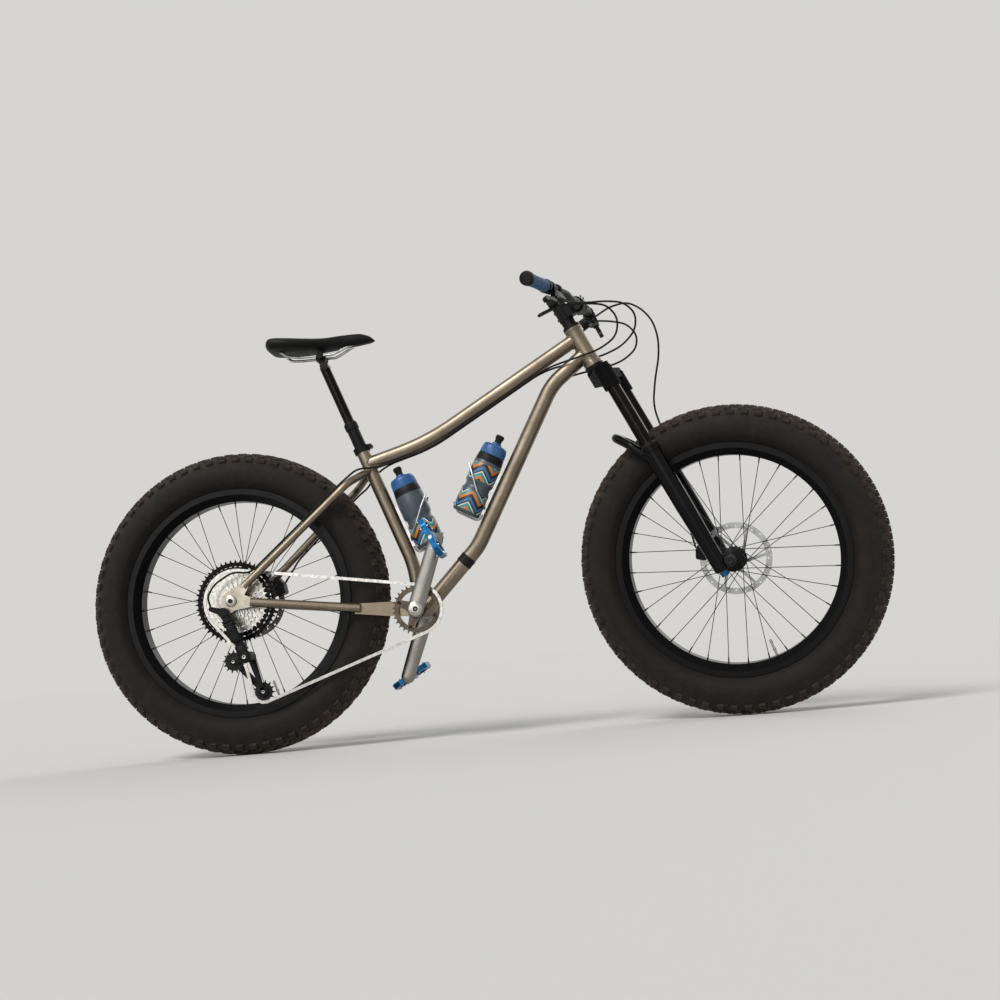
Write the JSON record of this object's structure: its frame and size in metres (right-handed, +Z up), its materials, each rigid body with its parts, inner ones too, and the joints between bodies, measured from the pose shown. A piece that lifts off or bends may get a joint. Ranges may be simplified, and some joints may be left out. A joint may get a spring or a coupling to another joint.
{
  "type": "fat tyre bicycle",
  "caption": "Fat tyre mountain bicycle: welded titanium hardtail frame, suspension fork, chain drive with a wide-range cassette, disc brakes, dropper post, bottle cages.",
  "frame": {"origin": "on the ground, midway between the axles, in the frame's middle plane", "axes": "+X forward, +Y to the rider's left, +Z up"},
  "size_m": [1.9962, 0.7805, 1.1173],
  "materials": {
    "titanium": "bead-blasted titanium, satin",
    "black_anodised": "black anodised, satin",
    "black_painted": "gloss black paint",
    "polished_steel": "bright steel",
    "grey_alloy": "polished grey",
    "blue_anodised": "blue anodised",
    "black_plastic": "moulded, matt",
    "blue_rubber": "soft grip rubber",
    "black_rubber": "hose cover",
    "tyre_rubber": "dusty black tread rubber",
    "saddle_cover": "black synthetic cover",
    "smoke_bottle": "translucent grey plastic"
  },
  "bodies": {
    "frame": {"head_tube": "titanium", "headset_cups": "black_anodised", "top_tube": "titanium", "down_tube": "titanium", "seat_tube": "titanium", "bb_shell": "titanium", "chainstays": "titanium", "seatstays": "titanium", "dropouts": "titanium", "rear_axle": "black_anodised", "seat_clamp": "titanium", "dropper_outer": "black_anodised", "bottle_cages": "polished_steel", "bottles": "smoke_bottle", "rear_caliper": "black_anodised", "chain": "polished_steel", "derailleur_mount": "black_anodised", "frame_lines": "black_rubber"},
    "seat_post": {"dropper_post": "black_anodised", "saddle_clamp": "black_anodised", "saddle_rails": "polished_steel", "saddle": "saddle_cover"},
    "steering": {"fork_crown": "black_painted", "stanchions": "black_painted", "headset_spacers": "black_anodised", "stem": "black_anodised", "handlebar": "black_anodised", "grips": "blue_rubber", "brake_masters": "black_anodised", "remote_bodies": "black_plastic", "front_brake_hose": "black_rubber"},
    "right_brake_lever": {"brake_lever_right": "black_anodised"},
    "left_brake_lever": {"brake_lever_left": "black_anodised"},
    "gear_thumb_lever": {"shift_lever": "black_plastic"},
    "post_thumb_lever": {"dropper_lever": "black_plastic"},
    "fork_slider": {"fork_lowers": "black_painted", "front_axle": "black_anodised", "front_caliper": "black_anodised"},
    "rebound_dial": {"rebound_knob": "blue_anodised"},
    "front_wheel": {"front_tyre": "tyre_rubber", "front_rim": "black_anodised", "front_hub": "black_anodised", "front_rotor": "polished_steel"},
    "rear_wheel": {"rear_tyre": "tyre_rubber", "rear_rim": "black_anodised", "rear_hub": "black_anodised", "rear_rotor": "polished_steel"},
    "cog_stack": {"cassette": "polished_steel"},
    "crankset": {"crank_right": "grey_alloy", "crank_left": "grey_alloy", "chainring": "grey_alloy", "pedal_axles": "polished_steel"},
    "right_pedal": {"pedal_right": "blue_anodised"},
    "left_pedal": {"pedal_left": "blue_anodised"},
    "outer_link": {"derailleur_link_outer": "black_anodised"},
    "inner_link": {"derailleur_link_inner": "black_anodised"},
    "derailleur": {"derailleur_body": "black_anodised"},
    "chain_cage": {"derailleur_cage": "black_anodised"},
    "upper_pulley": {"guide_pulley": "black_plastic"},
    "lower_pulley": {"tension_pulley": "black_plastic"}
  },
  "joints": [
    {"name": "steering", "type": "hinge", "parent": "frame", "child": "steering", "pos_m": [0.57287, 0, 0.35902], "axis": [-0.4226, 0, 0.9063], "range_deg": [-59, 81], "deforming": ["frame_lines"]},
    {"name": "fork_travel", "type": "slide", "parent": "steering", "child": "fork_slider", "axis": [-0.4226, 0, 0.9063], "range_m": [0, 0.12], "stiffness_N_per_m": 9000, "deforming": ["front_brake_hose"]},
    {"name": "rebound_dial", "type": "hinge", "parent": "fork_slider", "child": "rebound_dial", "pos_m": [0.58763, -0.08998, 0.34384], "axis": [-0.4226, 0, 0.9063], "range_deg": [-180, 180]},
    {"name": "front_wheel_spin", "type": "hinge", "parent": "fork_slider", "child": "front_wheel", "pos_m": [0.61913, -0.00992, 0.3806], "axis": [0.1729, 0.9816, 0.0806], "continuous": true},
    {"name": "rear_wheel_spin", "type": "hinge", "parent": "frame", "child": "rear_wheel", "pos_m": [-0.62, 0, 0.381], "axis": [0, 1, 0], "continuous": true},
    {"name": "crank_spin", "type": "hinge", "parent": "frame", "child": "crankset", "pos_m": [-0.164, 0, 0.323], "axis": [0, 1, 0], "continuous": true, "deforming": ["chain"]},
    {"name": "cog_spin", "type": "hinge", "parent": "frame", "child": "cog_stack", "pos_m": [-0.62, 0, 0.381], "axis": [0, 1, 0], "continuous": true, "deforming": ["chain"]},
    {"name": "right_pedal_spin", "type": "hinge", "parent": "crankset", "child": "right_pedal", "pos_m": [-0.10129, -0.164, 0.48638], "axis": [0, 1, 0], "continuous": true},
    {"name": "left_pedal_spin", "type": "hinge", "parent": "crankset", "child": "left_pedal", "pos_m": [-0.22671, 0.164, 0.15962], "axis": [0, 1, 0], "continuous": true},
    {"name": "gear_shift", "type": "hinge", "parent": "frame", "child": "outer_link", "pos_m": [-0.625, -0.119, 0.325], "axis": [-0.9158, 0, -0.4017], "range_deg": [-7, 33], "deforming": ["chain"]},
    {"name": "inner_link_turn", "type": "hinge", "parent": "frame", "child": "inner_link", "pos_m": [-0.625, -0.106, 0.325], "axis": [-0.9158, 0, -0.4017], "range_deg": [-7, 33], "deforming": ["chain"]},
    {"name": "derailleur_turn", "type": "hinge", "parent": "outer_link", "child": "derailleur", "pos_m": [-0.6, -0.119, 0.268], "axis": [-0.9158, 0, -0.4017], "range_deg": [-33, 7], "deforming": ["chain"]},
    {"name": "cage_swing", "type": "hinge", "parent": "derailleur", "child": "chain_cage", "pos_m": [-0.589, -0.072, 0.242], "axis": [0, -1, 0], "range_deg": [-12, 40], "stiffness_Nm_per_rad": 0.6, "deforming": ["chain"]},
    {"name": "upper_pulley_spin", "type": "hinge", "parent": "chain_cage", "child": "upper_pulley", "pos_m": [-0.63418, -0.061, 0.23315], "axis": [0, 1, 0], "continuous": true, "deforming": ["chain"]},
    {"name": "lower_pulley_spin", "type": "hinge", "parent": "chain_cage", "child": "lower_pulley", "pos_m": [-0.56352, -0.061, 0.15351], "axis": [0, 1, 0], "continuous": true, "deforming": ["chain"]},
    {"name": "right_brake_squeeze", "type": "hinge", "parent": "steering", "child": "right_brake_lever", "pos_m": [0.24371, -0.26177, 1.01748], "axis": [-0.8414, 0.2998, -0.4497], "range_deg": [0, 16], "stiffness_Nm_per_rad": 0.5},
    {"name": "left_brake_squeeze", "type": "hinge", "parent": "steering", "child": "left_brake_lever", "pos_m": [0.33391, 0.25022, 1.05954], "axis": [0.8803, -0.0789, 0.4679], "range_deg": [0, 16], "stiffness_Nm_per_rad": 0.5},
    {"name": "gear_thumb_push", "type": "hinge", "parent": "steering", "child": "gear_thumb_lever", "pos_m": [0.24266, -0.19671, 1.00945], "axis": [0.4452, -0.0874, -0.8912], "range_deg": [0, 25], "stiffness_Nm_per_rad": 0.3},
    {"name": "post_thumb_push", "type": "hinge", "parent": "steering", "child": "post_thumb_lever", "pos_m": [0.31105, 0.19152, 1.04134], "axis": [-0.4731, -0.071, 0.8781], "range_deg": [0, 20], "stiffness_Nm_per_rad": 0.3},
    {"name": "post_drop", "type": "slide", "parent": "frame", "child": "seat_post", "axis": [0.342, 0, -0.9397], "range_m": [0, 0.125]}
  ],
  "couplings": [
    {"joint": "cog_spin", "follows": "crank_spin", "ratio": 0.76923},
    {"joint": "upper_pulley_spin", "follows": "crank_spin", "ratio": -2.3077},
    {"joint": "lower_pulley_spin", "follows": "crank_spin", "ratio": 2.3077},
    {"joint": "inner_link_turn", "follows": "gear_shift", "ratio": 1},
    {"joint": "derailleur_turn", "follows": "gear_shift", "ratio": -1}
  ]
}
